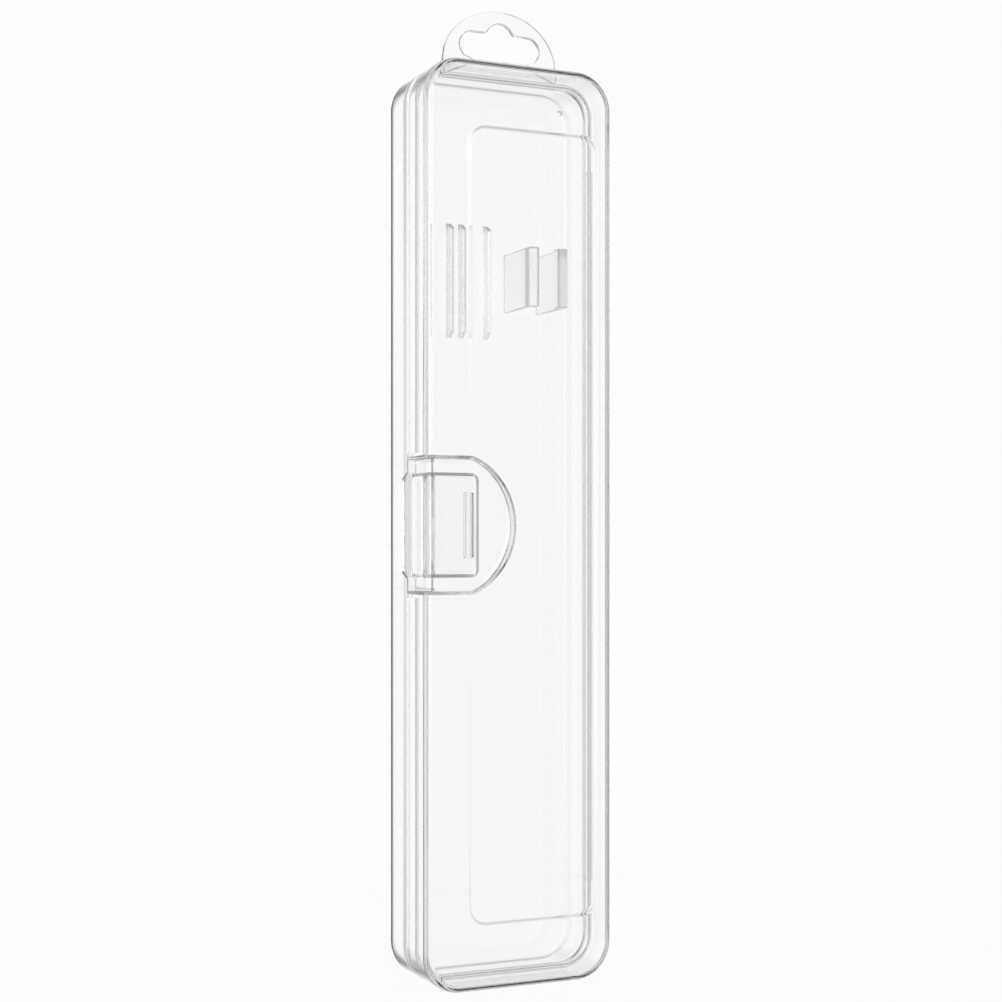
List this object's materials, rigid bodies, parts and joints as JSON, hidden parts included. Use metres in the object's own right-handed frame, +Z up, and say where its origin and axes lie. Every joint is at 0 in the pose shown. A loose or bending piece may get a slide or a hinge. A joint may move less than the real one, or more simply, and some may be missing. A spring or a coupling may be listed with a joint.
{
  "type": "travel toothbrush case",
  "caption": "Clear hinged clamshell travel case for a toothbrush, with a side snap latch, a hang tab, low rest ribs and a spring clip that holds the brush by its neck.",
  "frame": {"origin": "middle of the back face, on which the closed case lies", "axes": "+Z up out of the lid, +Y along the case to the hang tab, +X across the case to the lid's hinge; the latch is on the -X side"},
  "size_m": [0.0491, 0.2301, 0.0236],
  "materials": {
    "clear_shell": "water-clear moulded polypropylene, polished mould",
    "clear_fittings": "the same clear polypropylene in thin upstanding walls, which look a little greyer",
    "clear_web": "the same clear polypropylene in thin hinge webs, slightly hazed where it bends"
  },
  "bodies": {
    "base": {"base_shell": "clear_shell", "hang_tab": "clear_shell", "clip_jaw_latch_side": "clear_fittings", "clip_jaw_hinge_side": "clear_fittings", "rest_rib_outer": "clear_fittings", "rest_rib_middle": "clear_fittings", "rest_rib_inner": "clear_fittings", "lid_hinge_web": "clear_web", "latch_hinge_web": "clear_web"},
    "lid": {"lid_shell": "clear_shell", "recess_pan": "clear_shell", "catch_ridge": "clear_fittings"},
    "latch": {"latch_flap": "clear_shell"}
  },
  "joints": [
    {"name": "lid_hinge", "type": "hinge", "parent": "base", "child": "lid", "pos_m": [0.0246, 0, 0.0119], "axis": [0, 1, 0], "range_deg": [0, 180], "deforming": ["lid_hinge_web"]},
    {"name": "latch_hinge", "type": "hinge", "parent": "base", "child": "latch", "pos_m": [-0.02375, 0, 0.0121], "axis": [0, -1, 0], "range_deg": [0, 135], "deforming": ["latch_hinge_web"]}
  ]
}
